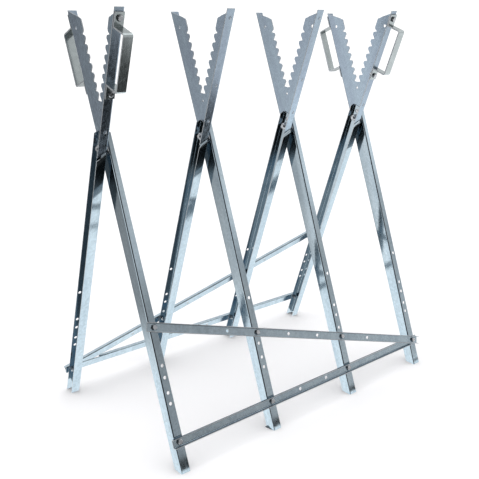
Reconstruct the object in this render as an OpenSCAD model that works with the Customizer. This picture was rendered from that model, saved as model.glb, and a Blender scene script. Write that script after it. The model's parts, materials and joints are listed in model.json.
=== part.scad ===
// Folding log sawhorse: four crossed frames of galvanised steel channel, topped
// with toothed angle arms, tied by two low and two diagonal braces, with four
// carrying handles. Front legs, arms and braces fold against the back ones about
// one line of pivot bolts. X runs along the row of frames, Y across it, Z is up,
// and the origin is on the floor below the middle.

/* [Overall] */
// Height of the arm tips above the floor
total_h = 820; // [760:1:900]
// Height of the pivot bolts above the floor
pivot_h = 578; // [520:1:610]
// Lean of each leg from vertical, in degrees
leg_lean = 19; // [15:0.1:24]
// Distance from one crossed frame to the next
frame_pitch = 227; // [180:1:260]
// Thickness of the washer between the two halves of a frame
spacer_t = 1; // [0.6:0.1:2]

/* [Legs] */
// Width of the leg channel at the floor, across its web
leg_w = 24; // [20:0.5:30]
// Angle between the two bends of a leg, which widens it towards the top, in degrees
leg_taper = 1.2; // [0.6:0.1:1.4]
// Distance from the pivot to the leg's brace side
leg_out = 16.2; // [15:0.1:18]
// Depth of the leg channel over its flanges
leg_d = 20; // [19:0.5:24]
// Depth of the brace-side flange where it ends above the pivot
leg_top_d = 10.5; // [9:0.5:14]
// Thickness of the leg sheet
leg_sheet = 1.5; // [1:0.1:2.5]
// Outer radius of the leg bends
leg_bend = 2.6; // [2.6:0.1:4]
// Length of leg above the pivot
leg_over = 29; // [26:1:36]
// How far the flange ends are cut back at their free edges
end_slant = 10; // [4:0.5:12]
// Diameter of the spare holes in legs and arms
spare_d = 6.4; // [5:0.1:7]

/* [Toothed arms] */
// Width of the toothed plate from its bend to the tooth tips
arm_w = 45; // [40:0.5:52]
// Width of the arm flange
arm_flange = 19; // [16:0.5:24]
// Thickness of the arm sheet
arm_sheet = 2; // [1.5:0.1:3]
// Outer radius of the arm bend
arm_bend = 3; // [3:0.1:4]
// Extra outward lean of the arms past the legs, in degrees
arm_splay = 1.7; // [0:0.1:2.5]
// Distance from the pivot to the outer face of the arm flange
arm_out = 16.3; // [15:0.1:18]
// Gap between the end of a leg flange and the arm flange above it
arm_gap = 2.5; // [1:0.1:4]
// Fall of the sloped plate top, for each unit of width
top_slope = 0.7; // [0.4:0.05:0.9]
// Distance from the arm top down to the first notch
first_notch = 58.7; // [55:0.1:65]
// Number of teeth on each arm
tooth_count = 9; // [5:1:9]
// Distance from one tooth to the next
tooth_pitch = 17.4; // [15:0.1:18]
// Depth of the notches between teeth
tooth_depth = 8.6; // [4:0.1:9]
// Radius of the tooth noses
tooth_nose = 3; // [2.5:0.1:4]
// Length of arm plate below the pivot
arm_tail = 14; // [13:0.5:20]

/* [Braces] */
// Width of the brace web
brace_w = 18; // [16:0.5:22]
// Height of the brace flanges
brace_d = 8; // [6:0.5:11]
// Thickness of the brace sheet
brace_sheet = 1.5; // [1:0.1:2]
// Distance up the leg from the floor to the low bolt
low_rise = 54; // [40:1:80]
// Rise of the diagonal brace from one leg to the next, along the leg
diagonal_step = 72.4; // [60:0.1:80]
// Length of brace past its end bolt
brace_over = 15; // [12:0.5:20]

/* [Handles] */
// Distance between the two bolts of a handle
handle_pitch = 131; // [120:1:150]
// Distance from the arm top to the upper handle bolt
handle_drop = 17; // [15:0.5:24]
// Distance from a handle bolt to the middle of the nearby strap leg
handle_foot = 15.5; // [13:0.5:20]
// Length of strap tab past its bolt
handle_tab = 10; // [8:0.5:12]
// Height of the grip's outer face above the arm
handle_h = 37; // [30:1:50]
// Width of the handle strap
handle_w = 18; // [14:0.5:24]
// Thickness of the handle strap
handle_sheet = 3; // [2:0.1:4]
// Outer radius of the strap bends
handle_bend = 5; // [4:0.1:8]

/* [Fasteners] */
// Diameter of the pivot bolts
pivot_d = 8; // [6:0.5:10]
// Diameter of the brace and handle bolts
bolt_d = 6; // [5:0.5:6]
// Diameter of the arm rivets
rivet_d = 5; // [4:0.5:6]
// Radial clearance of a bolt in a plain hole
hole_clear = 0.25; // [0.1:0.05:0.4]
// Radial clearance of a pivot bolt in its bores
pivot_clear = 0.05; // [0.02:0.01:0.09]
// Play along the pivot bolt between its two halves
pivot_play = 0.15; // [0.05:0.05:0.3]

/* [Hidden] */
$fn = 48;

// Along a leg or arm, the local z axis runs up the piece from the pivot, and the
// local y axis points to the outside of the V, so the braces lie on the -y side.
frames = 4;
function frame_x(i) = (i - (frames + 1) / 2) * frame_pitch;

// Planes across a frame, measured from the middle of the spacer washer
arm_x = spacer_t / 2;
web_x = arm_x + arm_sheet;
flange_mid = web_x + leg_d / 2;

// The leg, measured along itself from the pivot
floor_t = -pivot_h / cos(leg_lean);
low_t = floor_t + low_rise;
foot_spare = leg_w;
foot_t = floor_t - foot_spare;
leg_len = leg_over - foot_t;
leg_lo = (leg_w - leg_out) * cos(leg_taper) - floor_t * sin(leg_taper);
function leg_lo_y(t) = leg_lo / cos(leg_taper) + t * tan(leg_taper);
function diagonal_t(i) = low_t + (frames - i) * diagonal_step;
spare_rises = [93, 122];
spare_ts = [for (rise = spare_rises) low_t + rise];

// The arm
arm_lean = leg_lean + arm_splay;
tip_y = arm_out - arm_w;
arm_len = (total_h - pivot_h + (arm_out - arm_sheet) * sin(arm_lean)) / cos(arm_lean);
shoulder_r = 9;
shoulder_flat = 0.6;
arm_hole_drop = 40;
arm_hole_in = 20;
rivet_drop = 12;
rivet_t = leg_over - rivet_drop;
flange_hole_rise = 12;
flange_hole_t = leg_over + flange_hole_rise;
flange_start = 3;
flange_slope = (flange_start + end_slant) / arm_flange;

// The teeth: lip above the first notch, drop of a notch to the nose, nose to the
// start of the next notch, and the step of the nose's round
lip_in = 2;
lip_low = 3;
lip_high = 7;
nose_drop = 3.2;
tooth_back = 8.4;
nose_step = 17.5;

// Where the leg's other side ends, on its inner face
lo_end = flange_start - arm_gap;

// The handle, measured along the arm
upper_bolt_t = arm_len - handle_drop;
lower_bolt_t = upper_bolt_t - handle_pitch;
handle_x = arm_x + arm_flange / 2;

// Fasteners by the usual proportions of hexagon bolts
function across_flats(d) = d * 5 / 3;
function head_h(d) = 0.65 * d;
function nut_h(d) = 0.85 * d;
across_angle = 30;
bolt_spare = 2.5;
washer_t = 1.2;
rivet_head_h = 1.8;
seam = 0.02;

// Spare holes along the braces, measured from the bolt at the first leg
low_spares = [1.35, 1.69];
diagonal_spares = [0.69, 1.35, 1.69, 2.34];
brace_len = (frames - 1) * frame_pitch;
diagonal_drop = (frames - 1) * diagonal_step;
diagonal_len = sqrt(brace_len * brace_len + diagonal_drop * diagonal_drop);
diagonal_angle = atan(diagonal_drop / brace_len);
// Length of low brace, back from the shared bolt, that loses its flanges
notch_gap = 3;
notch_top = (brace_w / 2 + brace_w / 2 / cos(diagonal_angle) + notch_gap)
    / tan(diagonal_angle);
notch_low_gap = 2;
notch_low = brace_w / 2 + notch_low_gap;
brace_inner_bend = 1;
// The diagonal leans on the outer edge of the first leg and on the low brace, so it
// stands off the legs by a little more at each bolt
diagonal_tip = atan(brace_sheet / (diagonal_len + leg_d / 2 - notch_top / cos(diagonal_angle)));
function diagonal_off(i) = (leg_d / 2 + diagonal_len * (i - 1) / (frames - 1)) * tan(diagonal_tip);

steel = "lightsteelblue";
bright = "gainsboro";

// Places a leg's parts in the world: side 0 is the front half, 1 the back half
module at_frame(i, side) translate([frame_x(i), 0, 0]) rotate([0, 0, 180 * side]) children();
module along_leg() translate([0, 0, pivot_h]) rotate([-leg_lean, 0, 0]) children();
module along_arm() translate([0, 0, pivot_h]) rotate([-arm_lean, 0, 0]) children();

// A rod along local y, from y = a to y = b
module cross_rod(d, a, b) translate([0, b, 0]) rotate([90, 0, 0]) cylinder(d = d, h = b - a);
// A rod along x, from x = a to x = b
module side_rod(d, a, b) translate([a, 0, 0]) rotate([0, 90, 0]) cylinder(d = d, h = b - a);
// A hexagon along local y, from y = a to y = b
module cross_hex(af, a, b) translate([0, b, 0]) rotate([90, 0, 0])
    cylinder(d = af / cos(across_angle), h = b - a, $fn = 6);
module side_hex(af, a, b) translate([a, 0, 0]) rotate([0, 90, 0])
    cylinder(d = af / cos(across_angle), h = b - a, $fn = 6);

// Outline with two round corners on its x = 0 side
module soft_block(w, d, r) {
    translate([r, -w / 2]) square([d - r, w]);
    translate([0, r - w / 2]) square([d, w - 2 * r]);
    for (s = [-1, 1]) translate([r, s * (w / 2 - r)]) circle(r);
}

// Bent channel: web on x = 0, flanges towards +x
module channel_outline(w, d, sheet, r) difference() {
    soft_block(w, d, r);
    translate([sheet, 0]) soft_block(w - 2 * sheet, d, r - sheet);
}

// Fillet in the corner between two inner sheet faces, which lie on x = 0 and y = 0
module inner_bend(r) translate([-seam, -seam]) difference() {
    square(r);
    translate([r, r]) circle(r);
}

// Waste outside a bend, whose outer sheet faces lie on x = 0 and y = 0
module outer_bend(r) difference() {
    translate([-1, -1]) square(r + 1);
    translate([r, r]) circle(r);
}

// The leg's outline across its web, set in by a distance: points are [y, t]
module web_outline(in) polygon([[in - leg_out, foot_t], [leg_lo_y(foot_t) - in, foot_t],
    [leg_lo_y(leg_over + 1) - in, leg_over + 1], [in - leg_out, leg_over + 1]]);

// Places a profile along both bends of the leg
module leg_bends(in) {
    translate([web_x + in, in - leg_out, foot_t - 1]) linear_extrude(leg_len + 2)
        children();
    rotate([-leg_taper, 0, 0]) translate([web_x + in, leg_lo - in, foot_t - leg_bend])
        linear_extrude(leg_len + 2 * leg_bend) mirror([0, 1]) children();
}

// Leg channel with its two bends at the taper angle, cut level at the floor
module leg_body() difference() {
    along_leg() difference() {
        union() {
            difference() {
                translate([web_x, 0, 0]) rotate([90, 0, 90]) linear_extrude(leg_d)
                    web_outline(0);
                translate([web_x + leg_sheet, 0, -1]) rotate([90, 0, 90])
                    linear_extrude(leg_d) web_outline(leg_sheet);
                translate([web_x + leg_sheet, 0, 1]) rotate([90, 0, 90])
                    linear_extrude(leg_d) web_outline(leg_sheet);
            }
            leg_bends(leg_sheet) inner_bend(leg_bend - leg_sheet);
        }
        leg_bends(0) outer_bend(leg_bend);
        leg_cuts();
    }
    translate([0, -pivot_h, -pivot_h]) cube([leg_d + web_x + 1, 2 * pivot_h, pivot_h]);
}

module leg_cuts() {
    side_rod(pivot_d + 2 * pivot_clear, 0, web_x + leg_sheet + 1);
    translate([0, 0, rivet_t]) side_rod(rivet_d + 2 * hole_clear, 0, web_x + leg_sheet + 1);
    for (t = concat(spare_ts, [for (i = [1:frames]) diagonal_t(i)]))
        translate([flange_mid, 0, t])
            cross_rod(spare_d, -leg_out - 1, -leg_out + leg_bend + 1);
    // free edge of the brace-side flange, which narrows towards the top
    rotate([90, 0, 0]) linear_extrude(leg_out + 1)
        polygon([[web_x + leg_d, foot_t - 1], [web_x + leg_top_d, leg_over],
            [web_x + leg_top_d, leg_over + 1], [web_x + leg_d + 1, leg_over + 1],
            [web_x + leg_d + 1, foot_t - 1]]);
    // slanted end of that flange, and level end of the web
    translate([0, leg_out, 0]) rotate([90, 0, 0]) linear_extrude(2 * leg_out + 1)
        polygon([[0, leg_over], [web_x + leg_bend, leg_over],
            [web_x + leg_d + 1, leg_over - end_slant], [web_x + leg_d + 1, 2 * leg_over],
            [0, 2 * leg_over]]);
    // the other side ends below the arm flange, parallel to its slanted end
    translate([0, leg_w + leg_over, 0]) rotate([90, 0, 0])
        linear_extrude(leg_w + leg_over - arm_out + arm_sheet + 1)
        polygon([[0, lo_end], [web_x + leg_d + 1, lo_end - (web_x + leg_d + 1) * flange_slope],
            [web_x + leg_d + 1, 2 * leg_over], [0, 2 * leg_over]]);
}

module front_leg(i) color(steel) at_frame(i, 0) leg_body();
module back_leg(i) color(steel) at_frame(i, 1) leg_body();

// One tooth: a round-nosed lobe below the notch at height t
function tooth(t) = concat(
    [[tip_y + tooth_depth, t]],
    [for (k = [0:4]) let (a = 90 - (4 - k) * nose_step)
        [tip_y + tooth_nose - tooth_nose * sin(a),
        t - nose_drop - tooth_nose + tooth_nose * cos(a)]],
    [for (k = [0:3]) let (a = k * nose_step)
        [tip_y + tooth_nose - tooth_nose * cos(a),
        t - tooth_back - tooth_nose * sin(a)]]);

notch_t = arm_len - first_notch;
last_notch_t = notch_t - tooth_count * tooth_pitch;
shoulder_t = arm_len - top_slope * arm_w;

// Toothed plate, seen along x: points are [y, t]
module plate_outline() {
    polygon(concat(
        [[arm_out, 0], [arm_out, arm_len],
         [tip_y + shoulder_r, shoulder_t + top_slope * shoulder_r]],
        [for (a = [60:-15:0]) [tip_y + shoulder_r - shoulder_r * cos(a),
            shoulder_t - shoulder_r * (1 - top_slope) + shoulder_r * sin(a) * shoulder_flat]],
        [[tip_y, notch_t + lip_high], [tip_y + lip_in, notch_t + lip_low]],
        [for (k = [0:tooth_count - 1]) for (p = tooth(notch_t - k * tooth_pitch)) p],
        [[tip_y + tooth_depth, last_notch_t], [-arm_tail, arm_tail / 2], [-arm_tail, 0]]));
    intersection() {
        circle(arm_out);
        translate([-arm_tail, -arm_tail]) square([arm_tail + arm_out, arm_tail + 1]);
    }
}

// Flange of the arm, seen along y: points are [x, t]
module flange_outline() polygon([[0, flange_start], [arm_flange, -end_slant],
    [arm_flange, arm_len], [0, arm_len]]);

module arm_body() along_arm() difference() {
    union() {
        translate([arm_x, 0, 0]) rotate([90, 0, 90]) linear_extrude(arm_sheet) plate_outline();
        translate([arm_x, arm_out, 0]) rotate([90, 0, 0]) linear_extrude(arm_sheet)
            flange_outline();
        translate([arm_x + arm_sheet, arm_out - arm_sheet, arm_tail])
            linear_extrude(arm_len - 2 * arm_tail) mirror([0, 1])
            inner_bend(arm_bend - arm_sheet);
    }
    translate([arm_x, arm_out, -arm_tail]) linear_extrude(arm_len + 2 * arm_tail)
        mirror([0, 1]) outer_bend(arm_bend);
    side_rod(pivot_d + 2 * pivot_clear, 0, web_x + 1);
    translate([0, arm_out - arm_hole_in, arm_len - arm_hole_drop]) side_rod(spare_d, 0, web_x + 1);
    for (t = [upper_bolt_t, lower_bolt_t, flange_hole_t]) translate([handle_x, 0, t])
        cross_rod(spare_d, arm_out - arm_sheet - 1, arm_out + 1);
    rotate([arm_splay, 0, 0]) translate([0, 0, rivet_t])
        side_rod(rivet_d + 2 * hole_clear, 0, web_x + 1);
}

module front_arm(i) color(steel) at_frame(i, 0) arm_body();
module back_arm(i) color(steel) at_frame(i, 1) arm_body();

// Brace channel along x from the first leg's bolt: web on y = 0, flanges towards -y
module brace_bar(len) rotate([0, 90, 0]) rotate([0, 0, -90])
    translate([0, 0, -brace_over]) linear_extrude(len + 2 * brace_over)
    channel_outline(brace_w, brace_d, brace_sheet, brace_sheet + brace_inner_bend);

module brace_holes(places) for (x = places) translate([x, 0, 0])
    cross_rod(bolt_d + 2 * hole_clear, -brace_sheet - 1, 1);

// The braces of one half, in the leg's own tilt, from the first leg's bolt
module on_braces(side) rotate([0, 0, 180 * side]) along_leg()
    translate([frame_x(1) + flange_mid, -leg_out, 0]) children();

module low_brace() translate([0, 0, low_t]) difference() {
    brace_bar(brace_len);
    brace_holes([for (i = [0:frames - 1]) i * frame_pitch]);
    brace_holes([for (s = low_spares) s * frame_pitch]);
    // flanges cut away under the diagonal
    translate([brace_len - notch_top, -brace_d - 1, 0])
        cube([notch_top + brace_over + 1, brace_d + 1 - brace_sheet, brace_w]);
    translate([brace_len - notch_low, -brace_d - 1, -brace_w])
        cube([notch_low + brace_over + 1, brace_d + 1 - brace_sheet, brace_w + seam]);
}

module diagonal_brace() translate([0, -diagonal_off(1), diagonal_t(1)])
    rotate([0, diagonal_angle, 0]) rotate([0, 0, -diagonal_tip]) difference() {
        brace_bar(diagonal_len);
        brace_holes([for (i = [0:frames - 1]) i * diagonal_len / (frames - 1)]);
        brace_holes([for (s = diagonal_spares) s * diagonal_len / (frames - 1)]);
    }

module front_low_brace() color(steel) on_braces(0) low_brace();
module back_low_brace() color(steel) on_braces(1) low_brace();
module front_diagonal_brace() color(steel) on_braces(0) diagonal_brace();
module back_diagonal_brace() color(steel) on_braces(1) diagonal_brace();

// Handle strap, seen along x: points are [y, t] from the arm's outer face
module strap_corner(y, t, sy, st) translate([y, t]) scale([sy, st]) difference() {
    square(handle_bend);
    translate([handle_bend, handle_bend]) circle(handle_bend);
}

module strap_outline(foot_lo, foot_hi) {
    half = handle_sheet / 2;
    difference() {
        translate([0, foot_lo - half]) square([handle_h, foot_hi - foot_lo + 2 * half]);
        translate([-1, foot_lo + half])
            square([handle_h - handle_sheet + 1, foot_hi - foot_lo - 2 * half]);
        strap_corner(handle_h, foot_lo - half, -1, 1);
        strap_corner(handle_h, foot_hi + half, -1, -1);
    }
    translate([0, lower_bolt_t - handle_tab])
        square([handle_sheet, foot_lo - lower_bolt_t + handle_tab]);
    translate([0, foot_hi]) square([handle_sheet, upper_bolt_t + handle_tab - foot_hi]);
}

module handle_body() along_arm() difference() {
    translate([handle_x - handle_w / 2, arm_out, 0]) rotate([90, 0, 90])
        linear_extrude(handle_w)
        strap_outline(lower_bolt_t + handle_foot, upper_bolt_t - handle_foot);
    for (t = [lower_bolt_t, upper_bolt_t]) translate([handle_x, 0, t])
        cross_rod(bolt_d + 2 * hole_clear, arm_out - 1, arm_out + handle_sheet + 1);
}

module front_handle(i) color(bright) at_frame(i, 0) handle_body();
module back_handle(i) color(bright) at_frame(i, 1) handle_body();

// Pivot bolt: head in the front leg, nut in the back leg
pivot_grip = web_x + leg_sheet;
nut_side = -pivot_grip - pivot_play;

module at_pivot(i) translate([frame_x(i), 0, pivot_h]) children();

module washer(outer, inner, a, b) difference() {
    side_rod(outer, a, b);
    side_rod(inner, a - 1, b + 1);
}

module pivot_bolt(i) color(bright) at_pivot(i) {
    side_rod(pivot_d, nut_side - washer_t - nut_h(pivot_d) - bolt_spare,
        pivot_grip + washer_t + seam);
    side_hex(across_flats(pivot_d), pivot_grip + washer_t,
        pivot_grip + washer_t + head_h(pivot_d));
}

module pivot_nuts() color(bright) for (i = [1:frames]) at_pivot(i) difference() {
    side_hex(across_flats(pivot_d), nut_side - washer_t - nut_h(pivot_d), nut_side - washer_t);
    side_rod(pivot_d + 2 * pivot_clear, nut_side - 2 * nut_h(pivot_d), 0);
}

module pivot_spacers() color(bright) for (i = [1:frames]) at_pivot(i)
    washer(2 * pivot_d, pivot_d + 2 * pivot_clear, -spacer_t / 2 + pivot_play, spacer_t / 2);

module pivot_head_washers() color(bright) for (i = [1:frames]) at_pivot(i)
    washer(2 * pivot_d, pivot_d + 2 * pivot_clear, pivot_grip, pivot_grip + washer_t);

module pivot_nut_washers() color(bright) for (i = [1:frames]) at_pivot(i)
    washer(2 * pivot_d, pivot_d + 2 * pivot_clear, nut_side - washer_t, nut_side);

// Rivet through leg web and arm plate, flush on the arm's side
module arm_rivet() along_leg() translate([0, 0, rivet_t]) {
    side_rod(rivet_d, arm_x, web_x + leg_sheet + seam);
    side_rod(2 * rivet_d, web_x + leg_sheet, web_x + leg_sheet + rivet_head_h);
}

module front_arm_rivets() color(bright) for (i = [1:frames]) at_frame(i, 0) arm_rivet();
module back_arm_rivets() color(bright) for (i = [1:frames]) at_frame(i, 1) arm_rivet();

// Bolts of one half's braces. Each place is [leg number, place along the leg,
// height of the brace web's outer face above the leg].
brace_places = concat(
    [for (i = [1:frames]) [i, diagonal_t(i), brace_sheet + diagonal_off(i)]],
    [for (i = [1:frames - 1]) [i, low_t, brace_sheet]]);

module at_brace_bolt(p) along_leg()
    translate([frame_x(p[0]) + flange_mid, -leg_out, p[1]]) children();

module brace_bolts() for (p = brace_places) at_brace_bolt(p) {
    cross_rod(bolt_d, -p[2] - seam, leg_sheet + nut_h(bolt_d) + bolt_spare);
    cross_hex(across_flats(bolt_d), -p[2] - head_h(bolt_d), -p[2]);
}

module brace_nuts() for (p = brace_places) at_brace_bolt(p) difference() {
    cross_hex(across_flats(bolt_d), leg_sheet, leg_sheet + nut_h(bolt_d));
    cross_rod(bolt_d + 2 * pivot_clear, 0, leg_sheet + 2 * nut_h(bolt_d));
}

module front_brace_bolts() color(bright) brace_bolts();
module back_brace_bolts() color(bright) rotate([0, 0, 180]) brace_bolts();
module front_brace_nuts() color(bright) brace_nuts();
module back_brace_nuts() color(bright) rotate([0, 0, 180]) brace_nuts();

// Bolts of one half's two handles
module at_handle_bolt(i, side, t) at_frame(i, side) along_arm()
    translate([handle_x, arm_out, t]) children();

module handle_bolts(side) for (i = [1, frames]) for (t = [lower_bolt_t, upper_bolt_t])
    at_handle_bolt(i, side, t) {
        cross_rod(bolt_d, -arm_sheet - nut_h(bolt_d) - bolt_spare, handle_sheet + seam);
        cross_hex(across_flats(bolt_d), handle_sheet, handle_sheet + head_h(bolt_d));
    }

module handle_nuts(side) for (i = [1, frames]) for (t = [lower_bolt_t, upper_bolt_t])
    at_handle_bolt(i, side, t) difference() {
        cross_hex(across_flats(bolt_d), -arm_sheet - nut_h(bolt_d), -arm_sheet);
        cross_rod(bolt_d + 2 * pivot_clear, -arm_sheet - 2 * nut_h(bolt_d), 0);
    }

module front_handle_bolts() color(bright) handle_bolts(0);
module back_handle_bolts() color(bright) handle_bolts(1);
module front_handle_nuts() color(bright) handle_nuts(0);
module back_handle_nuts() color(bright) handle_nuts(1);

front_leg(1);  // front_leg_1
front_leg(2);  // front_leg_2
front_leg(3);  // front_leg_3
front_leg(4);  // front_leg_4
back_leg(1);  // back_leg_1
back_leg(2);  // back_leg_2
back_leg(3);  // back_leg_3
back_leg(4);  // back_leg_4
front_arm(1);  // front_arm_1
front_arm(2);  // front_arm_2
front_arm(3);  // front_arm_3
front_arm(4);  // front_arm_4
back_arm(1);  // back_arm_1
back_arm(2);  // back_arm_2
back_arm(3);  // back_arm_3
back_arm(4);  // back_arm_4
front_low_brace();
front_diagonal_brace();
back_low_brace();
back_diagonal_brace();
front_handle(1);  // front_handle_1
front_handle(4);  // front_handle_4
back_handle(1);  // back_handle_1
back_handle(4);  // back_handle_4
pivot_bolt(1);  // pivot_bolt_1
pivot_bolt(2);  // pivot_bolt_2
pivot_bolt(3);  // pivot_bolt_3
pivot_bolt(4);  // pivot_bolt_4
pivot_nuts();
pivot_spacers();
pivot_head_washers();
pivot_nut_washers();
front_arm_rivets();
back_arm_rivets();
front_brace_bolts();
front_brace_nuts();
back_brace_bolts();
back_brace_nuts();
front_handle_bolts();
front_handle_nuts();
back_handle_bolts();
back_handle_nuts();
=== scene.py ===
"""Folding log sawhorse: its galvanised steel, its fasteners, and the stage it stands on."""
import json
import math

import bmesh
import bpy
from mathutils import Matrix, Vector
from mathutils.bvhtree import BVHTree

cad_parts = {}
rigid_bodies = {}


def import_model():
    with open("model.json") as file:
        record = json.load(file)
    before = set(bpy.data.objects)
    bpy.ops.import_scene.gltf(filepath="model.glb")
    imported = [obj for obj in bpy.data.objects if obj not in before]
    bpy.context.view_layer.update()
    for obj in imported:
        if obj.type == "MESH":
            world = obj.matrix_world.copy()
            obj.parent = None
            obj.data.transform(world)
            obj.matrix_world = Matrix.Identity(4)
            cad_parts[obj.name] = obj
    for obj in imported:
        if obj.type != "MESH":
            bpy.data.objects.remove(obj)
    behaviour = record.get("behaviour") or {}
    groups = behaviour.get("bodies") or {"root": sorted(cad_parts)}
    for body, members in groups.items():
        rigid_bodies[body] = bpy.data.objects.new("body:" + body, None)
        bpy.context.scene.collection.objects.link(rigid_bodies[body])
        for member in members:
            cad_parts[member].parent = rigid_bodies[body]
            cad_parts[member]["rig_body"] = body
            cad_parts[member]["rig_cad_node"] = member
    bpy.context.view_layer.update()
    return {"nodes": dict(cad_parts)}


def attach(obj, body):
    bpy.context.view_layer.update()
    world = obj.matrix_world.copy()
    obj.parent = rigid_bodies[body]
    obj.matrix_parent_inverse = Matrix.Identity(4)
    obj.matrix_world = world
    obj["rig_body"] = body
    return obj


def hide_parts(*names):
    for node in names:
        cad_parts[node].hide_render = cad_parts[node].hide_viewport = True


bl_info = {
    "name": "Folding log sawhorse",
    "version": (1, 0, 0),
    "blender": (4, 5, 0),
    "location": "3D View > Sidebar > Sawhorse",
    "description": "Dresses the packed frame of a folding log sawhorse in galvanised steel",
    "category": "Object",
}

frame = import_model()
MM = 0.001
# Shades of the room that the metal reflects. The first number of each pair is the sideways or upward
# part of the direction, from -1 to 1; the second is the shade there.
LEFT_TO_RIGHT_FRONT = ((-1.0, 0.06), (-0.55, 0.03), (0.1, 0.07), (0.45, 0.36), (0.6, 0.44),
                       (0.75, 0.52), (1.0, 0.56))
LEFT_TO_RIGHT_BACK = ((-1.0, 1.15), (-0.75, 0.84), (-0.6, 0.45), (-0.45, 0.24), (0.2, 0.26),
                      (1.0, 0.42))
UPWARD_FRONT = ((-0.7, 1.6), (-0.1, 1.0), (0.05, 1.0), (0.14, 0.85), (0.2, 0.95), (0.27, 1.7),
                (0.36, 1.45), (0.45, 0.7), (0.6, 1.4), (1.0, 4.0))
UPWARD_BACK = ((-0.6, 1.8), (-0.35, 1.3), (-0.2, 0.95), (0.0, 0.82), (0.2, 0.9), (0.6, 1.6), (1.0, 3.0))
# Share of the room's light that is left once a reflection has bounced off another sheet
DEEP_SHARE = 0.3
# Brightness of the white that the floor and the camera see
WHITE_STRENGTH = 1.2
# Edges sharper than these angles stay sharp in the shading of sheets and of fasteners
SHEET_SMOOTHING = math.radians(35)
FASTENER_SMOOTHING = math.radians(29)
# Points nearer than this are one point
MERGE = 1e-6
# Sizes of heads and nuts as shares of the bolt's diameter, and the flat left on a hexagon's end
HEX_ACROSS = 5 / 3
HEAD_HEIGHT = 0.65
NUT_HEIGHT = 0.85
HEX_FLAT = 0.42
# Thread grooves at the end of a bolt, and their depth as a share of the pitch
THREAD_TURNS = 9
THREAD_DEPTH = 0.42
# Roughness of each zinc finish
ROUGH_EDGE = 0.35
ROUGH_LEG = 0.09
ROUGH_ARM = 0.22
ROUGH_BRACE = 0.18
ROUGH_HANDLE = 0.2
ROUGH_PLATING = 0.24
# Height of the zinc grain
GRAIN_HEIGHT = 0.2 * MM
# The painted reflection of the floor, a glowing sheet that only reflections see: each pair runs from
# clear to full along x or y, in metres
POOL_LEFT = (-0.68, -0.5)
POOL_RIGHT = (1.5, 0.9)
POOL_FAR = (0.6, 0.28)
POOL_NEAR = (-0.8, -0.6)
# A painted dark reflection: a strip in front of it that the metal reflects as shade, how far its right
# end slants with y, and how dark the painted shade is
PAINTED_DARK_BACK = (-0.345, -0.375)
PAINTED_DARK_RIGHT = (1.03, 0.97)
PAINTED_DARK_SLANT = 0.65
PAINTED_DARK_SHARE = 0.98
SIDES = ("front", "back")
ROW = (1, 2, 3, 4)


# ---------------------------------------------------------------- sizes and colours

class SheetLook(bpy.types.PropertyGroup):
    """Shape of the sheet edges, and the pattern of the zinc on them."""

    leg_lean: bpy.props.FloatProperty(
        name="Leg lean", description="Lean of each leg from vertical",
        default=math.radians(19.0), subtype="ANGLE", unit="ROTATION")
    arm_lean: bpy.props.FloatProperty(
        name="Arm lean", description="Lean of each toothed arm from vertical",
        default=math.radians(20.7), subtype="ANGLE", unit="ROTATION")
    edge_round: bpy.props.FloatProperty(
        name="Edge rounding", description="Rounding of the sheared sheet edges",
        default=0.22 * MM, unit="LENGTH")
    edge_depth: bpy.props.FloatProperty(
        name="Edge depth", description="Sheet deeper than this behind a face makes the face a cut edge",
        default=4.5 * MM, unit="LENGTH")
    zinc: bpy.props.FloatVectorProperty(
        name="Zinc", description="Colour of the zinc coat",
        default=(0.66, 0.78, 0.86), subtype="COLOR", size=3, min=0.0, max=1.0)
    zinc_dark: bpy.props.FloatVectorProperty(
        name="Dull zinc", description="Colour of the duller clouds in the zinc coat",
        default=(0.56, 0.68, 0.77), subtype="COLOR", size=3, min=0.0, max=1.0)
    plate_zinc: bpy.props.FloatVectorProperty(
        name="Plate zinc", description="Colour of the zinc coat on the toothed plates",
        default=(0.57, 0.70, 0.82), subtype="COLOR", size=3, min=0.0, max=1.0)
    plate_dull: bpy.props.FloatVectorProperty(
        name="Dull plate zinc", description="Colour of the duller clouds on the toothed plates",
        default=(0.50, 0.60, 0.73), subtype="COLOR", size=3, min=0.0, max=1.0)
    strap_zinc: bpy.props.FloatVectorProperty(
        name="Strap zinc", description="Colour of the zinc coat on the handle straps",
        default=(0.76, 0.84, 0.85), subtype="COLOR", size=3, min=0.0, max=1.0)
    strap_dull: bpy.props.FloatVectorProperty(
        name="Dull strap zinc", description="Colour of the duller clouds on the handle straps",
        default=(0.70, 0.78, 0.80), subtype="COLOR", size=3, min=0.0, max=1.0)
    cut_edge: bpy.props.FloatVectorProperty(
        name="Cut edge", description="Colour of the sheared edge of the sheet",
        default=(0.72, 0.76, 0.80), subtype="COLOR", size=3, min=0.0, max=1.0)


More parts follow.
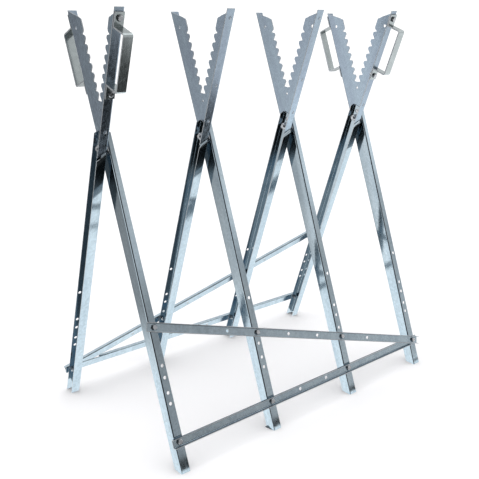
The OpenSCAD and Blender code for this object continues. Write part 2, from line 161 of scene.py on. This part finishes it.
class FastenerLook(bpy.types.PropertyGroup):
    """Proportions of the bolts, nuts, washers and rivets."""

    pivot: bpy.props.FloatProperty(
        name="Pivot bolt", description="Diameter of the pivot bolts", default=8 * MM, unit="LENGTH")
    bolt: bpy.props.FloatProperty(
        name="Bolt", description="Diameter of the brace and handle bolts", default=6 * MM, unit="LENGTH")
    rivet: bpy.props.FloatProperty(
        name="Rivet", description="Diameter of the arm rivets", default=5 * MM, unit="LENGTH")
    rivet_head: bpy.props.FloatProperty(
        name="Rivet head", description="Height of the rivet heads", default=1.8 * MM, unit="LENGTH")
    washer: bpy.props.FloatProperty(
        name="Washer", description="Thickness of the washers", default=1.2 * MM, unit="LENGTH")
    spacer: bpy.props.FloatProperty(
        name="Spacer", description="Thickness of the spacers at the pivots",
        default=0.85 * MM, unit="LENGTH")
    clearance: bpy.props.FloatProperty(
        name="Clearance", description="Radial clearance of a bolt in its nut or washer",
        default=0.05 * MM, unit="LENGTH")
    pitch: bpy.props.FloatProperty(
        name="Thread pitch", description="Distance from one thread groove to the next",
        default=1.0 * MM, unit="LENGTH")
    plating: bpy.props.FloatVectorProperty(
        name="Plating", description="Colour of the bright zinc plating",
        default=(0.88, 0.90, 0.93), subtype="COLOR", size=3, min=0.0, max=1.0)
    plating_dull: bpy.props.FloatVectorProperty(
        name="Dull plating", description="Colour of the duller drifts in the plating",
        default=(0.74, 0.77, 0.82), subtype="COLOR", size=3, min=0.0, max=1.0)


class StageLook(bpy.types.PropertyGroup):
    """Where the camera stands, and how bright the studio is."""

    camera_place: bpy.props.FloatVectorProperty(
        name="Camera place", description="Where the camera stands",
        default=(-0.9200, -1.1238, 0.7800), subtype="TRANSLATION", unit="LENGTH", size=3)
    camera_yaw: bpy.props.FloatProperty(
        name="Camera yaw", description="Turn of the camera from facing the front legs squarely",
        default=0.6729, subtype="ANGLE", unit="ROTATION")
    camera_pitch: bpy.props.FloatProperty(
        name="Camera pitch", description="How far the camera looks down",
        default=0.2966, subtype="ANGLE", unit="ROTATION")
    camera_roll: bpy.props.FloatProperty(
        name="Camera roll", description="Tilt of the camera about its own line of sight",
        default=-0.0094, subtype="ANGLE", unit="ROTATION")
    camera_lens: bpy.props.FloatProperty(
        name="Lens", description="Focal length in millimetres on a 36 mm sensor",
        default=51.19)
    floor_colour: bpy.props.FloatVectorProperty(
        name="Floor", description="Colour of the studio floor",
        default=(0.962, 0.96, 0.975), subtype="COLOR", size=3, min=0.0, max=1.0)


# ---------------------------------------------------------------- helpers for meshes

def select_only(*objects):
    bpy.ops.object.select_all(action="DESELECT")
    for each in objects:
        each.select_set(True)
    bpy.context.view_layer.objects.active = objects[-1]


def sheet_copy(node, name):
    """A merged copy of a CAD node, free of the frame, ready to be finished."""
    source = frame["nodes"][node]
    copy = source.copy()
    copy.data = source.data.copy()
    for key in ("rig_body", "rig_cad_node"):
        if key in copy:
            del copy[key]
    copy.parent = None
    copy.name = name
    copy.data.name = name
    bpy.context.scene.collection.objects.link(copy)
    copy.hide_render = False
    copy.hide_viewport = False
    select_only(copy)
    bpy.ops.object.mode_set(mode="EDIT")
    bpy.ops.mesh.select_all(action="SELECT")
    bpy.ops.mesh.remove_doubles(threshold=MERGE)
    bpy.ops.mesh.dissolve_limited(angle_limit=math.radians(0.5))
    bpy.ops.mesh.customdata_custom_splitnormals_clear()
    bpy.ops.object.mode_set(mode="OBJECT")
    return copy


def mark_cut_edges(piece, depth):
    """Gives the narrow sheared faces of a sheet the second material: behind them the metal runs deep."""
    mesh = piece.data
    shape = bmesh.new()
    shape.from_mesh(mesh)
    tree = BVHTree.FromBMesh(shape)
    shape.free()
    mesh.calc_loop_triangles()
    largest = {}
    for triangle in mesh.loop_triangles:
        best = largest.get(triangle.polygon_index)
        if best is None or triangle.area > best.area:
            largest[triangle.polygon_index] = triangle
    step = 0.01 * MM
    for index, triangle in largest.items():
        face = mesh.polygons[index]
        hit, _, _, distance = tree.ray_cast(triangle.center - face.normal * step, -face.normal)
        face.material_index = 1 if hit is None or distance > depth else 0


def round_edges(piece, width):
    bevel = piece.modifiers.new("rounded edges", "BEVEL")
    bevel.width = width
    bevel.segments = 2
    bevel.limit_method = "ANGLE"
    bevel.angle_limit = math.radians(40)
    bevel.use_clamp_overlap = False
    bevel.material = 1
    select_only(piece)
    bpy.ops.object.modifier_apply(modifier=bevel.name)
    bpy.ops.object.shade_smooth_by_angle(angle=SHEET_SMOOTHING)
    even = piece.modifiers.new("flat faces stay flat", "WEIGHTED_NORMAL")
    even.weight = 100
    even.keep_sharp = True
    bpy.ops.object.modifier_apply(modifier=even.name)


def lay_pattern(piece, side, lean, seed):
    """Stores each point's place along and across the piece, so that the zinc pattern follows it."""
    turn = Matrix.Rotation(lean, 4, "X")
    if side == "back":
        turn = turn @ Matrix.Rotation(math.pi, 4, "Z")
    shift = Vector((seed * 1.37, seed * 0.71, seed * 2.13))
    lay = piece.data.attributes.new("sheet_place", "FLOAT_VECTOR", "POINT")
    for place, vertex in zip(lay.data, piece.data.vertices):
        place.vector = turn @ vertex.co + shift


# ---------------------------------------------------------------- helpers for fasteners

def loose_parts(node_name):
    """The separate solids of a CAD node, each as a list of its points."""
    shape = bmesh.new()
    shape.from_mesh(frame["nodes"][node_name].data)
    bmesh.ops.remove_doubles(shape, verts=shape.verts, dist=MERGE)
    left = set(shape.verts)
    parts = []
    while left:
        waiting = [left.pop()]
        part = []
        while waiting:
            vertex = waiting.pop()
            part.append(vertex.co.copy())
            for edge in vertex.link_edges:
                other = edge.other_vert(vertex)
                if other in left:
                    left.remove(other)
                    waiting.append(other)
        parts.append(part)
    shape.free()
    return parts


def seat_of(part, axis):
    """Where a fastener sits: z runs along its axis to its outer face, and y points to a corner."""
    heights = [point.dot(axis) for point in part]
    middle = sum(part, Vector()) / len(part)
    middle -= axis * middle.dot(axis)
    arms = [point - axis * point.dot(axis) - middle for point in part]
    corner = max(arms, key=lambda arm: arm.length).normalized()
    seat = Matrix((corner.cross(axis), corner, axis)).transposed().to_4x4()
    seat.translation = middle + axis * max(heights)
    return seat, max(heights) - min(heights)


def turned(rings, sides=32):
    """A round solid about z, through rings given as radius and height, from the bottom up."""
    radius, height = rings[0]
    bpy.ops.object.select_all(action="DESELECT")
    bpy.ops.mesh.primitive_circle_add(
        vertices=sides, radius=radius, fill_type="NGON", location=(0, 0, height))
    piece = bpy.context.active_object
    bpy.ops.object.transform_apply(location=True, rotation=True, scale=True)
    bpy.ops.object.mode_set(mode="EDIT")
    bpy.ops.mesh.select_all(action="SELECT")
    for next_radius, next_height in rings[1:]:
        bpy.ops.mesh.extrude_region_move(TRANSFORM_OT_translate={"value": (0, 0, next_height - height)})
        factor = next_radius / radius
        bpy.ops.transform.resize(value=(factor, factor, 1))
        radius, height = next_radius, next_height
    bpy.ops.mesh.select_all(action="SELECT")
    bpy.ops.mesh.normals_make_consistent(inside=False)
    bpy.ops.object.mode_set(mode="OBJECT")
    return piece


def combine(piece, tool, operation):
    change = piece.modifiers.new("combine", "BOOLEAN")
    change.operation = operation
    change.object = tool
    change.solver = "EXACT"
    select_only(piece)
    bpy.ops.object.modifier_apply(modifier=change.name)
    bpy.data.objects.remove(tool, do_unlink=True)


def hexagon(size, height, both_ends):
    """A hexagon below the origin with its corners turned off, for a bolt of the given diameter."""
    across = size * HEX_ACROSS
    corner = across / 2 / math.cos(math.radians(30))
    bpy.ops.object.select_all(action="DESELECT")
    bpy.ops.mesh.primitive_cylinder_add(
        vertices=6, radius=corner, depth=height, location=(0, 0, -height / 2))
    piece = bpy.context.active_object
    bpy.ops.object.transform_apply(location=True, rotation=True, scale=True)
    flat = across * HEX_FLAT
    wide = corner * 1.04
    fall = (wide - flat) * math.tan(math.radians(30))
    rings = [(wide, -fall), (flat, 0)]
    if both_ends:
        rings = [(flat, -height), (wide, fall - height)] + rings
    else:
        rings = [(wide, -height - MM)] + rings
    combine(piece, turned(rings, 48), "INTERSECT")
    return piece


def bolt_model(size, length, pitch):
    """A hexagon bolt whose head is below the origin, with thread grooves near its end."""
    head = size * HEAD_HEIGHT
    outer = size / 2
    root = outer - pitch * THREAD_DEPTH
    rings = [(root, -length), (outer, -length + pitch / 2)]
    height = -length + pitch / 2
    for _ in range(THREAD_TURNS):
        rings += [(outer, height + pitch * 0.12),
                  (root, height + pitch * 0.5),
                  (outer, height + pitch * 0.88)]
        height += pitch
    rings.append((outer, -head + 0.5 * MM))
    piece = hexagon(size, head, False)
    combine(piece, turned(rings, 24), "UNION")
    return piece


def nut_model(size, clearance):
    height = size * NUT_HEIGHT
    piece = hexagon(size, height, True)
    bore = size / 2 + clearance
    mouth = bore + 0.5 * MM
    rings = [(mouth + MM, -height - MM), (bore, -height + 0.5 * MM), (bore, -0.5 * MM), (mouth + MM, MM)]
    combine(piece, turned(rings, 24), "DIFFERENCE")
    return piece


def washer_model(size, thickness, clearance):
    edge = 0.15 * MM
    rings = [(size - edge, -thickness), (size, edge - thickness), (size, -edge), (size - edge, 0)]
    piece = turned(rings, 40)
    bore = size / 2 + clearance
    combine(piece, turned([(bore, -thickness - MM), (bore, MM)], 40), "DIFFERENCE")
    return piece


def rivet_model(size, head, length):
    outline = ((1.0, 1.0), (0.985, 0.72), (0.9, 0.4), (0.72, 0.16), (0.44, 0.03), (0.12, 0.0))
    rings = [(size / 2, -length), (size / 2, -head)]
    rings += [(size * wide, -head * low) for wide, low in outline]
    return turned(rings, 32)


def fasten(model, node_name, axis, body, seed):
    """Puts a copy of the model on each solid of a CAD node, and joins them into one piece."""
    copies = []
    for part in loose_parts(node_name):
        seat, _ = seat_of(part, axis)
        copy = model.copy()
        copy.data = model.data.copy()
        copy.data.transform(seat)
        bpy.context.scene.collection.objects.link(copy)
        copies.append(copy)
    select_only(*copies)
    if len(copies) > 1:
        bpy.ops.object.join()
    piece = bpy.context.active_object
    piece.name = node_name + "_turned"
    piece.data.name = piece.name
    bpy.ops.object.shade_smooth_by_angle(angle=FASTENER_SMOOTHING)
    lay_pattern(piece, "front", 0.0, seed)
    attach(piece, body)
    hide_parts(node_name)
    return piece


def finish_model(model, material):
    model.data.materials.clear()
    model.data.materials.append(material)
    select_only(model)


def part_length(node_name, axis):
    return min(seat_of(part, axis)[1] for part in loose_parts(node_name))


def outward(side, lean, sign):
    """The direction across a leaning leg or arm: to the outside of the V if sign is 1."""
    turn = sign if side == "front" else -sign
    return Vector((0, turn * math.cos(lean), -sign * math.sin(lean)))


# ---------------------------------------------------------------- materials

def new_group(name, inputs, outputs):
    group = bpy.data.node_groups.new(name, "ShaderNodeTree")
    for label, kind, value in inputs:
        socket = group.interface.new_socket(label, in_out="INPUT", socket_type=kind)
        if value is not None:
            socket.default_value = value
    for label, kind in outputs:
        group.interface.new_socket(label, in_out="OUTPUT", socket_type=kind)
    return group


def node(tree, kind, **settings):
    made = tree.nodes.new(kind)
    for key, value in settings.items():
        setattr(made, key, value)
    return made


def noise_at(tree, place, scale, detail, rough=0.5):
    made = node(tree, "ShaderNodeTexNoise")
    made.inputs["Scale"].default_value = scale
    made.inputs["Detail"].default_value = detail
    made.inputs["Roughness"].default_value = rough
    tree.links.new(place, made.inputs["Vector"])
    return made.outputs["Fac"]


def remap(tree, value, low, high, to_low=0.0, to_high=1.0):
    made = node(tree, "ShaderNodeMapRange")
    made.inputs["From Min"].default_value = low
    made.inputs["From Max"].default_value = high
    made.inputs["To Min"].default_value = to_low
    made.inputs["To Max"].default_value = to_high
    tree.links.new(value, made.inputs["Value"])
    return made.outputs["Result"]


def mix(tree, amount, first, second):
    made = node(tree, "ShaderNodeMix", data_type="RGBA")
    for socket, value in ((made.inputs[0], amount), (made.inputs[6], first), (made.inputs[7], second)):
        if isinstance(value, bpy.types.NodeSocket):
            tree.links.new(value, socket)
        elif socket.type == "RGBA":
            socket.default_value = (*value, 1.0)
        else:
            socket.default_value = value
    return made.outputs[2]


def stretch(tree, place, scale):
    made = node(tree, "ShaderNodeMapping")
    made.inputs["Scale"].default_value = scale
    tree.links.new(place, made.inputs["Vector"])
    return made.outputs["Vector"]


def zinc_clouds_group():
    """Soft drifts of bright and dull zinc along a sheet, and the fine grain of its crystals."""
    group = new_group(
        "Zinc clouds",
        [("Place", "NodeSocketVector", None),
         ("Bright", "NodeSocketColor", (0.56, 0.62, 0.7, 1)),
         ("Dull", "NodeSocketColor", (0.34, 0.4, 0.48, 1)),
         ("Cloud Size", "NodeSocketFloat", 1.0),
         ("Roughness", "NodeSocketFloat", 0.2)],
        [("Color", "NodeSocketColor"), ("Roughness", "NodeSocketFloat"), ("Height", "NodeSocketFloat")])
    start = node(group, "NodeGroupInput")
    end = node(group, "NodeGroupOutput")
    scaled = node(group, "ShaderNodeVectorMath", operation="SCALE")
    group.links.new(start.outputs["Place"], scaled.inputs[0])
    group.links.new(start.outputs["Cloud Size"], scaled.inputs["Scale"])
    place = scaled.outputs[0]
    drift = noise_at(group, stretch(group, place, (40, 40, 9)), 1.0, 3.0, 0.55)
    cloud = remap(group, drift, 0.35, 0.68)
    grain = noise_at(group, stretch(group, place, (260, 260, 120)), 1.0, 2.0)
    crystals = node(group, "ShaderNodeTexVoronoi")
    crystals.inputs["Scale"].default_value = 210.0
    group.links.new(place, crystals.inputs["Vector"])
    flakes = node(group, "ShaderNodeSeparateColor")
    group.links.new(crystals.outputs["Color"], flakes.inputs[0])
    colour = mix(group, cloud, start.outputs["Bright"], start.outputs["Dull"])
    lit = node(group, "ShaderNodeHueSaturation")
    group.links.new(colour, lit.inputs["Color"])
    group.links.new(remap(group, flakes.outputs[0], 0, 1, 0.94, 1.06), lit.inputs["Value"])
    group.links.new(lit.outputs[0], end.inputs["Color"])
    rough = node(group, "ShaderNodeMath", operation="MULTIPLY")
    group.links.new(start.outputs["Roughness"], rough.inputs[0])
    group.links.new(remap(group, grain, 0.3, 0.7, 0.8, 1.25), rough.inputs[1])
    group.links.new(rough.outputs[0], end.inputs["Roughness"])
    group.links.new(grain, end.inputs["Height"])
    return group


def zinc_material(name, clouds, bright, dull, rough, size=1.0, bump=0.02):
    made = bpy.data.materials.new(name)
    made.use_nodes = True
    tree = made.node_tree
    shader = tree.nodes["Principled BSDF"]
    shader.inputs["Metallic"].default_value = 1.0
    place = node(tree, "ShaderNodeAttribute", attribute_name="sheet_place")
    pattern = node(tree, "ShaderNodeGroup", node_tree=clouds)
    pattern.inputs["Bright"].default_value = (*bright, 1)
    pattern.inputs["Dull"].default_value = (*dull, 1)
    pattern.inputs["Cloud Size"].default_value = size
    pattern.inputs["Roughness"].default_value = rough
    tree.links.new(place.outputs["Vector"], pattern.inputs["Place"])
    tree.links.new(pattern.outputs["Color"], shader.inputs["Base Color"])
    tree.links.new(pattern.outputs["Roughness"], shader.inputs["Roughness"])
    relief = node(tree, "ShaderNodeBump")
    relief.inputs["Strength"].default_value = bump
    relief.inputs["Distance"].default_value = GRAIN_HEIGHT
    tree.links.new(pattern.outputs["Height"], relief.inputs["Height"])
    tree.links.new(relief.outputs[0], shader.inputs["Normal"])
    return made


def zinc_clouds():
    return bpy.data.node_groups.get("Zinc clouds") or zinc_clouds_group()


def plating_material():
    look = bpy.context.scene.sawhorse_fasteners
    ready = bpy.data.materials.get("bright_plating")
    return ready or zinc_material(
        "bright_plating", zinc_clouds(), look.plating, look.plating_dull, ROUGH_PLATING, 2.0)


def finish_sheet(node_name, side, lean, seed, materials, body):
    look = bpy.context.scene.sawhorse_sheet
    piece = sheet_copy(node_name, node_name + "_sheet")
    piece.data.materials.clear()
    for each in materials:
        piece.data.materials.append(each)
    mark_cut_edges(piece, look.edge_depth)
    round_edges(piece, look.edge_round)
    lay_pattern(piece, side, lean, seed)
    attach(piece, body)
    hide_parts(node_name)
    return piece


# ---------------------------------------------------------------- operators

class SAWHORSE_OT_sheets(bpy.types.Operator):
    """Builds the finished legs, arms, braces and handles"""

    bl_idname = "sawhorse.sheets"
    bl_label = "Sheet steel"

    def execute(self, context):
        look = context.scene.sawhorse_sheet
        clouds = zinc_clouds()
        edge = zinc_material("cut_edge", clouds, look.cut_edge, look.cut_edge, ROUGH_EDGE)
        leg = zinc_material("leg_zinc", clouds, look.zinc, look.zinc_dark, ROUGH_LEG)
        arm = zinc_material("arm_zinc", clouds, look.plate_zinc, look.plate_dull, ROUGH_ARM)
        brace = zinc_material("brace_zinc", clouds, look.zinc, look.zinc_dark, ROUGH_BRACE)
        handle = zinc_material(
            "handle_zinc", clouds, look.strap_zinc, look.strap_dull, ROUGH_HANDLE, 0.6)
        seed = 0
        for side in SIDES:
            body = side + "_frame"
            for i in ROW:
                seed += 1
                finish_sheet(f"{side}_leg_{i}", side, look.leg_lean, seed, (leg, edge),
                             body)
                finish_sheet(f"{side}_arm_{i}", side, look.arm_lean, seed, (arm, edge),
                             body)
            for i in (1, 4):
                finish_sheet(f"{side}_handle_{i}", side, look.arm_lean, seed, (handle, edge),
                             body)
            for kind in ("low", "diagonal"):
                seed += 1
                finish_sheet(f"{side}_{kind}_brace", side, look.leg_lean, seed, (brace, edge),
                             body)
        return {"FINISHED"}


class SAWHORSE_OT_pivots(bpy.types.Operator):
    """Builds the pivot bolts with their nuts, washers and spacers"""

    bl_idname = "sawhorse.pivots"
    bl_label = "Pivot bolts"

    def execute(self, context):
        look = context.scene.sawhorse_fasteners
        plating = plating_material()
        right = Vector((1, 0, 0))
        bolt = bolt_model(look.pivot, part_length("pivot_bolt_1", right), look.pitch)
        finish_model(bolt, plating)
        for i in ROW:
            fasten(bolt, f"pivot_bolt_{i}", right, "front_frame", i)
        nut = nut_model(look.pivot, look.clearance)
        finish_model(nut, plating)
        fasten(nut, "pivot_nuts", -right, "front_frame", 5)
        washer = washer_model(look.pivot, look.washer, look.clearance)
        finish_model(washer, plating)
        fasten(washer, "pivot_head_washers", right, "front_frame", 6)
        fasten(washer, "pivot_nut_washers", -right, "front_frame", 7)
        spacer = washer_model(look.pivot, look.spacer, look.clearance)
        finish_model(spacer, plating)
        fasten(spacer, "pivot_spacers", right, "front_frame", 8)
        for model in (bolt, nut, washer, spacer):
            bpy.data.objects.remove(model, do_unlink=True)
        return {"FINISHED"}


class SAWHORSE_OT_bolts(bpy.types.Operator):
    """Builds the bolts and nuts of the braces and handles"""

    bl_idname = "sawhorse.bolts"
    bl_label = "Brace and handle bolts"

    def execute(self, context):
        look = context.scene.sawhorse_fasteners
        sheets = context.scene.sawhorse_sheet
        plating = plating_material()
        nut = nut_model(look.bolt, look.clearance)
        finish_model(nut, plating)
        for seed, side in enumerate(SIDES):
            body = side + "_frame"
            for kind, lean, sign in (("brace", sheets.leg_lean, -1), ("handle", sheets.arm_lean, 1)):
                axis = outward(side, lean, sign)
                name = f"{side}_{kind}_bolts"
                bolt = bolt_model(look.bolt, part_length(name, axis), look.pitch)
                finish_model(bolt, plating)
                fasten(bolt, name, axis, body, 10 + seed)
                fasten(nut, f"{side}_{kind}_nuts", -axis, body, 12 + seed)
                bpy.data.objects.remove(bolt, do_unlink=True)
        bpy.data.objects.remove(nut, do_unlink=True)
        return {"FINISHED"}


class SAWHORSE_OT_rivets(bpy.types.Operator):
    """Builds the domed rivets that hold the arms to the legs"""

    bl_idname = "sawhorse.rivets"
    bl_label = "Rivets"

    def execute(self, context):
        look = context.scene.sawhorse_fasteners
        plating = plating_material()
        for side, sign in zip(SIDES, (1, -1)):
            name = f"{side}_arm_rivets"
            axis = Vector((sign, 0, 0))
            rivet = rivet_model(look.rivet, look.rivet_head, part_length(name, axis))
            finish_model(rivet, plating)
            fasten(rivet, name, axis, side + "_frame", 14)
            bpy.data.objects.remove(rivet, do_unlink=True)
        return {"FINISHED"}


class SAWHORSE_OT_stage(bpy.types.Operator):
    """Builds the floor, the lights and the camera"""

    bl_idname = "sawhorse.stage"
    bl_label = "Stage"

    def execute(self, context):
        look = context.scene.sawhorse_stage
        scene = context.scene
        bpy.ops.object.select_all(action="DESELECT")
        bpy.ops.mesh.primitive_plane_add(size=60, location=(0, 0, 0))
        floor = context.active_object
        floor.name = "studio_floor"
        paint = bpy.data.materials.new("floor_paint")
        paint.use_nodes = True
        shader = paint.node_tree.nodes["Principled BSDF"]
        shader.inputs["Base Color"].default_value = (*look.floor_colour, 1)
        shader.inputs["Roughness"].default_value = 1.0
        shader.inputs["Specular IOR Level"].default_value = 0.0
        floor.data.materials.append(paint)
        floor.visible_glossy = False
        bpy.ops.object.select_all(action="DESELECT")
        # A glowing sheet seen only in reflections: a painted reflection of the bright floor round the
        # feet
        bpy.ops.mesh.primitive_plane_add(size=6, location=(0, 0, 0))
        pool = context.active_object
        pool.name = "painted_floor_reflection"
        glow = bpy.data.materials.new("floor_glow")
        glow.use_nodes = True
        paint_floor_reflection(glow.node_tree)
        pool.data.materials.append(glow)
        pool.visible_camera = False
        pool.visible_diffuse = False
        pool.visible_shadow = False
        pool.visible_transmission = False
        lamp_data = bpy.data.lights.new("overhead_softbox", "AREA")
        lamp_data.shape = "DISK"
        lamp_data.size = 3.0
        lamp_data.energy = 5
        lamp = bpy.data.objects.new("overhead_softbox", lamp_data)
        lamp.location = (0.2, 0.3, 3.2)
        lamp.visible_glossy = False
        scene.collection.objects.link(lamp)
        scene.view_settings.view_transform = "Standard"
        world = bpy.data.worlds.new("studio")
        scene.world = world
        world.use_nodes = True
        build_surroundings(world.node_tree)
        camera_data = bpy.data.cameras.new("camera")
        camera_data.lens = look.camera_lens
        camera_data.sensor_width = 36
        camera_data.clip_start = 0.05
        camera = bpy.data.objects.new("camera", camera_data)
        forward = Vector((math.sin(look.camera_yaw) * math.cos(look.camera_pitch),
                          math.cos(look.camera_yaw) * math.cos(look.camera_pitch),
                          -math.sin(look.camera_pitch)))
        turn = forward.to_track_quat("-Z", "Y").to_matrix().to_4x4()
        roll = Matrix.Rotation(look.camera_roll, 4, "Z")
        camera.matrix_world = Matrix.Translation(look.camera_place) @ turn @ roll
        scene.collection.objects.link(camera)
        scene.camera = camera
        return {"FINISHED"}


def ramp_at(tree, value, stops):
    """A ramp of grey shades over a part of the direction, which runs from -1 to 1."""
    made = node(tree, "ShaderNodeValToRGB")
    made.color_ramp.interpolation = "EASE"
    points = made.color_ramp.elements
    while len(points) < len(stops):
        points.new(0.5)
    for point, (at, shade) in zip(points, stops):
        point.position = (at + 1) / 2
        point.color = (shade, shade, shade, 1)
    tree.links.new(remap(tree, value, -1, 1), made.inputs[0])
    return made.outputs[0]


def calculate(tree, operation, first, second):
    made = node(tree, "ShaderNodeMath", operation=operation)
    for socket, value in zip(made.inputs, (first, second)):
        if isinstance(value, bpy.types.NodeSocket):
            tree.links.new(value, socket)
        else:
            socket.default_value = value
    return made.outputs[0]


def build_surroundings(tree):
    """White to the camera and to the floor, and the soft grey room that the metal reflects."""
    tree.nodes.clear()
    out = node(tree, "ShaderNodeOutputWorld")
    white = node(tree, "ShaderNodeBackground")
    room = node(tree, "ShaderNodeBackground")
    path = node(tree, "ShaderNodeLightPath")
    choose = node(tree, "ShaderNodeMixShader")
    tree.links.new(path.outputs["Is Glossy Ray"], choose.inputs[0])
    tree.links.new(white.outputs[0], choose.inputs[1])
    tree.links.new(room.outputs[0], choose.inputs[2])
    tree.links.new(choose.outputs[0], out.inputs["Surface"])
    white.inputs["Color"].default_value = (1, 1, 1, 1)
    white.inputs["Strength"].default_value = WHITE_STRENGTH
    place = node(tree, "ShaderNodeTexCoord")
    parts = node(tree, "ShaderNodeSeparateXYZ")
    tree.links.new(place.outputs["Generated"], parts.inputs[0])
    behind = remap(tree, parts.outputs["Y"], -0.15, 0.15)
    across = mix(tree, behind, ramp_at(tree, parts.outputs["X"], LEFT_TO_RIGHT_FRONT),
                 ramp_at(tree, parts.outputs["X"], LEFT_TO_RIGHT_BACK))
    upward = mix(tree, behind, ramp_at(tree, parts.outputs["Z"], UPWARD_FRONT),
                 ramp_at(tree, parts.outputs["Z"], UPWARD_BACK))
    shades = node(tree, "ShaderNodeMix", data_type="RGBA", blend_type="MULTIPLY")
    shades.inputs[0].default_value = 1.0
    tree.links.new(across, shades.inputs[6])
    tree.links.new(upward, shades.inputs[7])
    tree.links.new(shades.outputs[2], room.inputs["Color"])
    tree.links.new(first_bounce(tree, path, 2), room.inputs["Strength"])


def first_bounce(tree, path, depth):
    """Full light for what the metal reflects directly, and less for reflections of reflections."""
    deep = calculate(tree, "GREATER_THAN", path.outputs["Ray Depth"], depth + 0.5)
    return remap(tree, deep, 0, 1, 1.0, DEEP_SHARE)


def paint_floor_reflection(tree):
    """Painted reflection: a glowing sheet round the feet, seen only in reflections, that stands for the
    bright floor as the metal reflects it.
    """
    tree.nodes.clear()
    out = node(tree, "ShaderNodeOutputMaterial")
    glow = node(tree, "ShaderNodeEmission")
    clear = node(tree, "ShaderNodeBsdfTransparent")
    cover = node(tree, "ShaderNodeMixShader")
    place = node(tree, "ShaderNodeTexCoord")
    parts = node(tree, "ShaderNodeSeparateXYZ")
    tree.links.new(place.outputs["Object"], parts.inputs[0])
    x, y = parts.outputs["X"], parts.outputs["Y"]
    left = remap(tree, x, *POOL_LEFT)
    right = remap(tree, x, *POOL_RIGHT)
    far = remap(tree, y, *POOL_FAR)
    near = remap(tree, y, *POOL_NEAR)
    core = calculate(tree, "MULTIPLY", calculate(tree, "MULTIPLY", left, right),
                     calculate(tree, "MULTIPLY", far, near))
    # Painted dark reflection: a strip of the glowing sheet dimmed to stand in for shade
    slant = calculate(tree, "SUBTRACT", x, calculate(tree, "MULTIPLY", y, PAINTED_DARK_SLANT))
    dark = calculate(tree, "MULTIPLY", remap(tree, y, *PAINTED_DARK_BACK), remap(tree, slant, *PAINTED_DARK_RIGHT))
    shade = calculate(tree, "SUBTRACT", 1.0, calculate(tree, "MULTIPLY", dark, PAINTED_DARK_SHARE))
    path = node(tree, "ShaderNodeLightPath")
    shade = calculate(tree, "MULTIPLY", shade, first_bounce(tree, path, 1))
    tree.links.new(shade, glow.inputs["Strength"])
    glow.inputs["Color"].default_value = (0.96, 0.99, 1.0, 1)
    tree.links.new(calculate(tree, "MAXIMUM", core, dark), cover.inputs[0])
    tree.links.new(clear.outputs[0], cover.inputs[1])
    tree.links.new(glow.outputs[0], cover.inputs[2])
    tree.links.new(cover.outputs[0], out.inputs["Surface"])


class SAWHORSE_PT_panel(bpy.types.Panel):
    """Lists the steps that build the sawhorse"""

    bl_idname = "SAWHORSE_PT_panel"
    bl_label = "Sawhorse"
    bl_space_type = "VIEW_3D"
    bl_region_type = "UI"
    bl_category = "Sawhorse"

    def draw(self, context):
        for operator in OPERATORS:
            self.layout.operator(operator.bl_idname)


OPERATORS = (
    SAWHORSE_OT_sheets, SAWHORSE_OT_pivots, SAWHORSE_OT_bolts, SAWHORSE_OT_rivets, SAWHORSE_OT_stage)
CLASSES = (SheetLook, FastenerLook, StageLook, *OPERATORS, SAWHORSE_PT_panel)


def register():
    for each in CLASSES:
        bpy.utils.register_class(each)
    bpy.types.Scene.sawhorse_sheet = bpy.props.PointerProperty(type=SheetLook)
    bpy.types.Scene.sawhorse_fasteners = bpy.props.PointerProperty(type=FastenerLook)
    bpy.types.Scene.sawhorse_stage = bpy.props.PointerProperty(type=StageLook)


def unregister():
    del bpy.types.Scene.sawhorse_stage
    del bpy.types.Scene.sawhorse_fasteners
    del bpy.types.Scene.sawhorse_sheet
    for each in reversed(CLASSES):
        bpy.utils.unregister_class(each)


def main():
    register()
    bpy.ops.sawhorse.sheets()
    bpy.ops.sawhorse.pivots()
    bpy.ops.sawhorse.bolts()
    bpy.ops.sawhorse.rivets()
    bpy.ops.sawhorse.stage()


if __name__ == "__main__":
    main()
